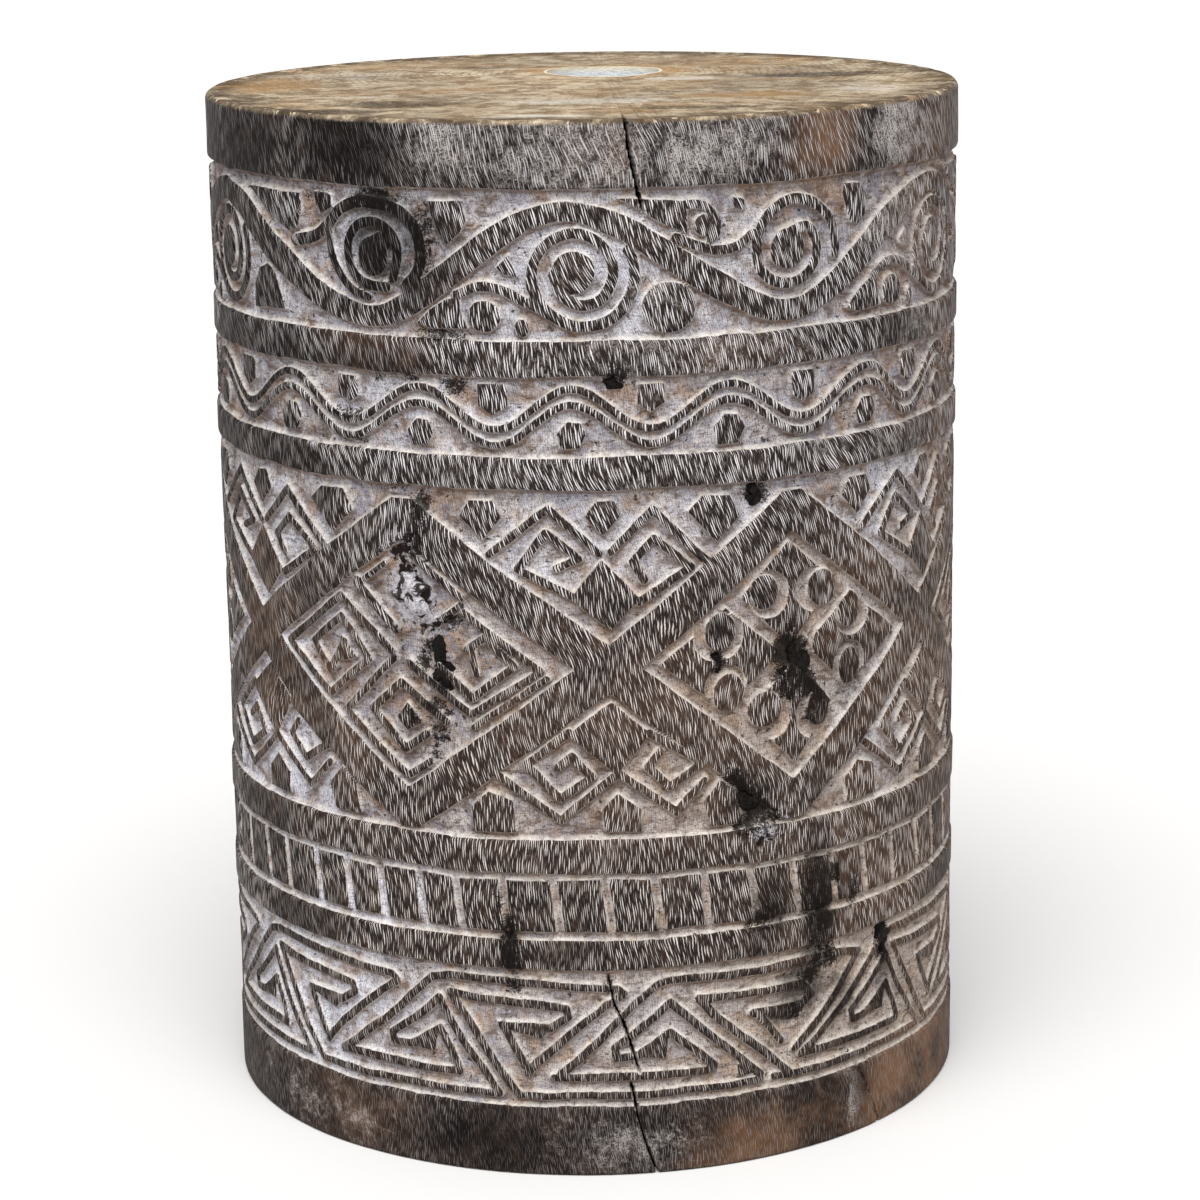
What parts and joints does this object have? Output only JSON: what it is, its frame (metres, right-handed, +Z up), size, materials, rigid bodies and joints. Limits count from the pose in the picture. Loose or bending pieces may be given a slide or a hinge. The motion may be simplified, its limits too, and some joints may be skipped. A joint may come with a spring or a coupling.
{
  "type": "stool",
  "caption": "Drum stool carved from one tree trunk, with limewashed bands of scroll, wave, lattice, ladder and key carving, a bored pith and stopped knots.",
  "frame": {"origin": "centre of the drum's foot, on the floor", "axes": "+Z up along the trunk, -Y towards the front, where the cracks and most of the stopped knots are, +X to the right"},
  "size_m": [0.32, 0.3201, 0.432],
  "materials": {
    "carved_wood": "dark stain on the raised tops, limewash in the sunk floors",
    "pitch": "black, dull gloss",
    "lime": "matt, crusted"
  },
  "bodies": {
    "root": {"trunk": "carved_wood", "pitch_fill_wave": "pitch", "pitch_fill_lattice_head": "pitch", "pitch_fill_disc_panel": "pitch", "pitch_fill_disc_edge": "pitch", "pitch_fill_lattice_foot": "pitch", "pitch_fill_key": "pitch", "pitch_fill_lozenge_panel": "pitch", "pitch_fill_ladder": "pitch", "lime_fill_knot": "lime"}
  },
  "joints": []
}
